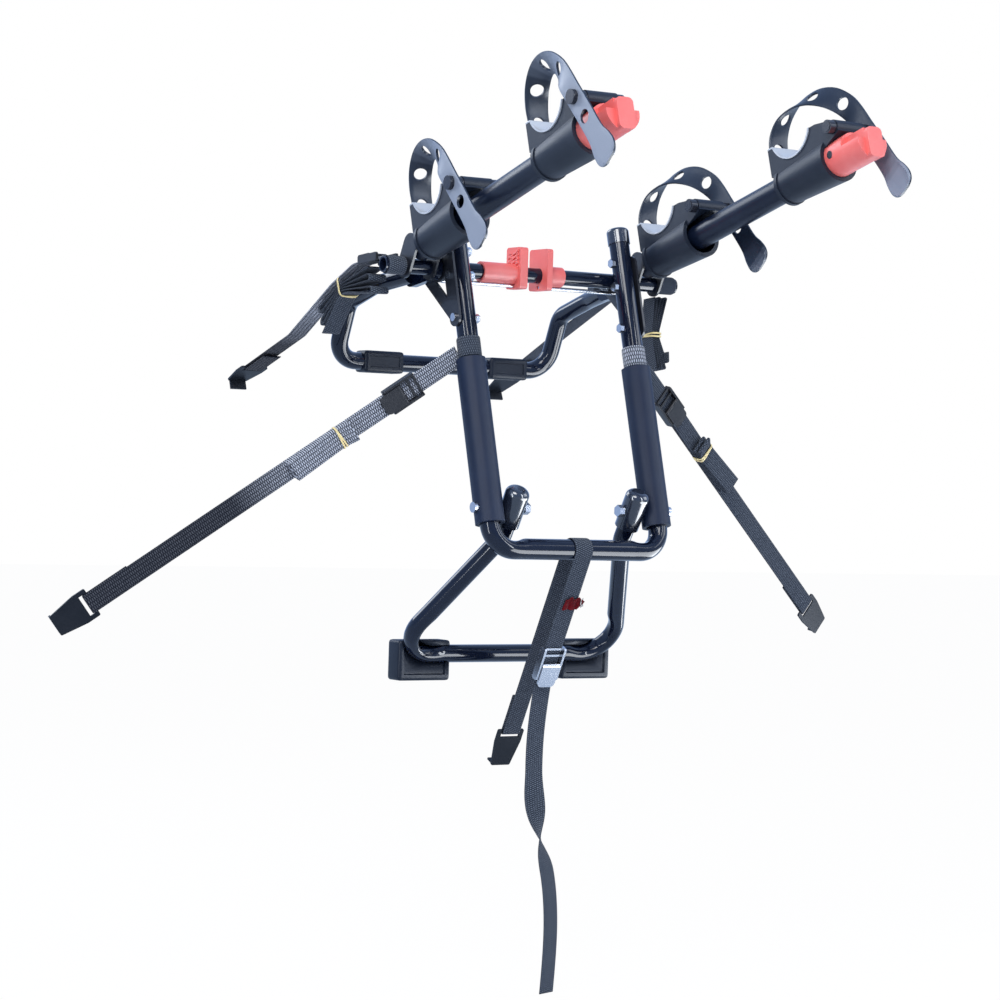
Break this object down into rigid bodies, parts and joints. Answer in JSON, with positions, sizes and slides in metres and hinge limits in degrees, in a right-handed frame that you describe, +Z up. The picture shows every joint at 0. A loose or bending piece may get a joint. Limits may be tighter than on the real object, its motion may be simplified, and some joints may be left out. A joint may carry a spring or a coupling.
{
  "type": "trunk mounted bike rack",
  "caption": "Trunk mounted bike rack with folding upper and lower frames, two carrying arms with strapped cradles, webbing straps with hooks, and red squeeze grips.",
  "frame": {"origin": "midway between the contact faces of the two lower feet, at the height of the foot bar", "axes": "+X the car's right, +Y forward to the trunk lid, +Z up"},
  "size_m": [1.163, 0.8681, 1.1103],
  "materials": {
    "gloss_black_tube": "gloss black powder coat",
    "black_steel_plate": "satin black paint",
    "bright_steel": "bright zinc plate",
    "black_cap_plastic": "gloss black",
    "navy_sleeve_rubber": "matte",
    "black_rubber": "satin",
    "boot_rubber": "matte",
    "strap_rubber": "satin blue grey",
    "liner_plastic": "gloss",
    "pin_plastic": "gloss black",
    "coral_plastic": "satin coral red",
    "black_webbing": "ribbed weave",
    "buckle_plastic": "satin black",
    "coated_hook": "vinyl coated steel",
    "cream_rubber": "matte",
    "red_tag": "woven"
  },
  "bodies": {
    "frame": {"main_frame_tube": "gloss_black_tube", "upright_end_caps": "black_cap_plastic", "upright_sleeves": "navy_sleeve_rubber", "hub_plate_right": "black_steel_plate", "hub_plate_left": "black_steel_plate", "hub_bolts": "bright_steel", "lower_pivot_bolts": "bright_steel", "leg_lock_pins": "black_steel_plate", "leg_lock_springs": "bright_steel", "side_strap_loops": "black_webbing", "side_webbing_right": "black_webbing", "side_webbing_left": "black_webbing", "side_hank_right": "black_webbing", "side_hank_left": "black_webbing", "upper_webbing_right": "black_webbing", "upper_webbing_left": "black_webbing", "upper_hank_left": "black_webbing", "upper_hank_right": "black_webbing", "rubber_bands": "cream_rubber", "strap_hooks": "coated_hook", "strap_buckles": "buckle_plastic", "bottom_webbing": "black_webbing", "bottom_buckle": "bright_steel", "bottom_hook": "coated_hook", "warning_tag": "red_tag", "bottom_strap_tail": "black_webbing"},
    "upper_frame": {"upper_frame_tube": "gloss_black_tube", "upper_pad_right": "black_rubber", "upper_pad_left": "black_rubber"},
    "lower_frame": {"lower_frame_tube": "gloss_black_tube", "lower_frame_caps": "black_cap_plastic", "foot_pad_right": "black_rubber", "foot_pad_left": "black_rubber"},
    "arms": {"cross_tube": "gloss_black_tube", "arm_tube_right": "gloss_black_tube", "arm_tube_left": "gloss_black_tube", "arm_brackets": "black_steel_plate", "cradle_inner_right": "boot_rubber", "cradle_inner_left": "boot_rubber", "cradle_outer_right": "boot_rubber", "cradle_outer_left": "boot_rubber", "rubber_strap_inner_right": "strap_rubber", "rubber_strap_inner_left": "strap_rubber", "rubber_strap_outer_right": "strap_rubber", "rubber_strap_outer_left": "strap_rubber", "cradle_liners": "liner_plastic", "strap_pins": "pin_plastic", "end_plug_right": "coral_plastic", "end_plug_left": "coral_plastic", "plug_screws": "black_steel_plate"},
    "grip_left": {"squeeze_grip_left": "coral_plastic", "pull_rod_left": "bright_steel"},
    "grip_right": {"squeeze_grip_right": "coral_plastic", "pull_rod_right": "bright_steel"},
    "side_lever_right_body": {"side_lever_right": "buckle_plastic"},
    "side_lever_left_body": {"side_lever_left": "buckle_plastic"},
    "upper_lever_right_body": {"upper_lever_right": "buckle_plastic"},
    "upper_lever_left_body": {"upper_lever_left": "buckle_plastic"},
    "bottom_lever_body": {"bottom_lever": "bright_steel"}
  },
  "joints": [
    {"name": "upper_frame_fold", "type": "hinge", "parent": "frame", "child": "upper_frame", "pos_m": [0, -0.0601, 0.47093], "axis": [1, 0, 0], "range_deg": [-72, 0]},
    {"name": "lower_frame_fold", "type": "hinge", "parent": "frame", "child": "lower_frame", "pos_m": [0, -0.16447, 0.18313], "axis": [1, 0, 0], "range_deg": [0, 110]},
    {"name": "arm_fold", "type": "hinge", "parent": "frame", "child": "arms", "pos_m": [0, -0.0601, 0.47093], "axis": [1, 0, 0], "range_deg": [0, 50]},
    {"name": "grip_left_squeeze", "type": "slide", "parent": "arms", "child": "grip_left", "axis": [1, 0, 0], "range_m": [0, 0.01], "stiffness_N_per_m": 900},
    {"name": "grip_right_squeeze", "type": "slide", "parent": "arms", "child": "grip_right", "axis": [-1, 0, 0], "range_m": [0, 0.01], "stiffness_N_per_m": 900},
    {"name": "side_lever_right_lift", "type": "hinge", "parent": "frame", "child": "side_lever_right_body", "pos_m": [0.19943, -0.087, 0.31461], "axis": [-0.607, 0, -0.7947], "range_deg": [0, 70], "stiffness_Nm_per_rad": 0.12, "springref_deg": -22.92},
    {"name": "side_lever_left_lift", "type": "hinge", "parent": "frame", "child": "side_lever_left_body", "pos_m": [-0.19943, -0.087, 0.31461], "axis": [-0.607, 0, 0.7947], "range_deg": [0, 70], "stiffness_Nm_per_rad": 0.12, "springref_deg": -22.92},
    {"name": "upper_lever_right_lift", "type": "hinge", "parent": "frame", "child": "upper_lever_right_body", "pos_m": [0.2005, -0.01889, 0.48237], "axis": [1, 0, 0], "range_deg": [0, 70], "stiffness_Nm_per_rad": 0.12, "springref_deg": -22.92},
    {"name": "upper_lever_left_lift", "type": "hinge", "parent": "frame", "child": "upper_lever_left_body", "pos_m": [-0.2005, -0.01891, 0.48304], "axis": [1, 0, 0], "range_deg": [0, 70], "stiffness_Nm_per_rad": 0.12, "springref_deg": -22.92},
    {"name": "bottom_lever_lift", "type": "hinge", "parent": "frame", "child": "bottom_lever_body", "pos_m": [0, -0.12556, -0.0091], "axis": [-1, 0, 0], "range_deg": [0, 70], "stiffness_Nm_per_rad": 0.12, "springref_deg": -22.92}
  ]
}
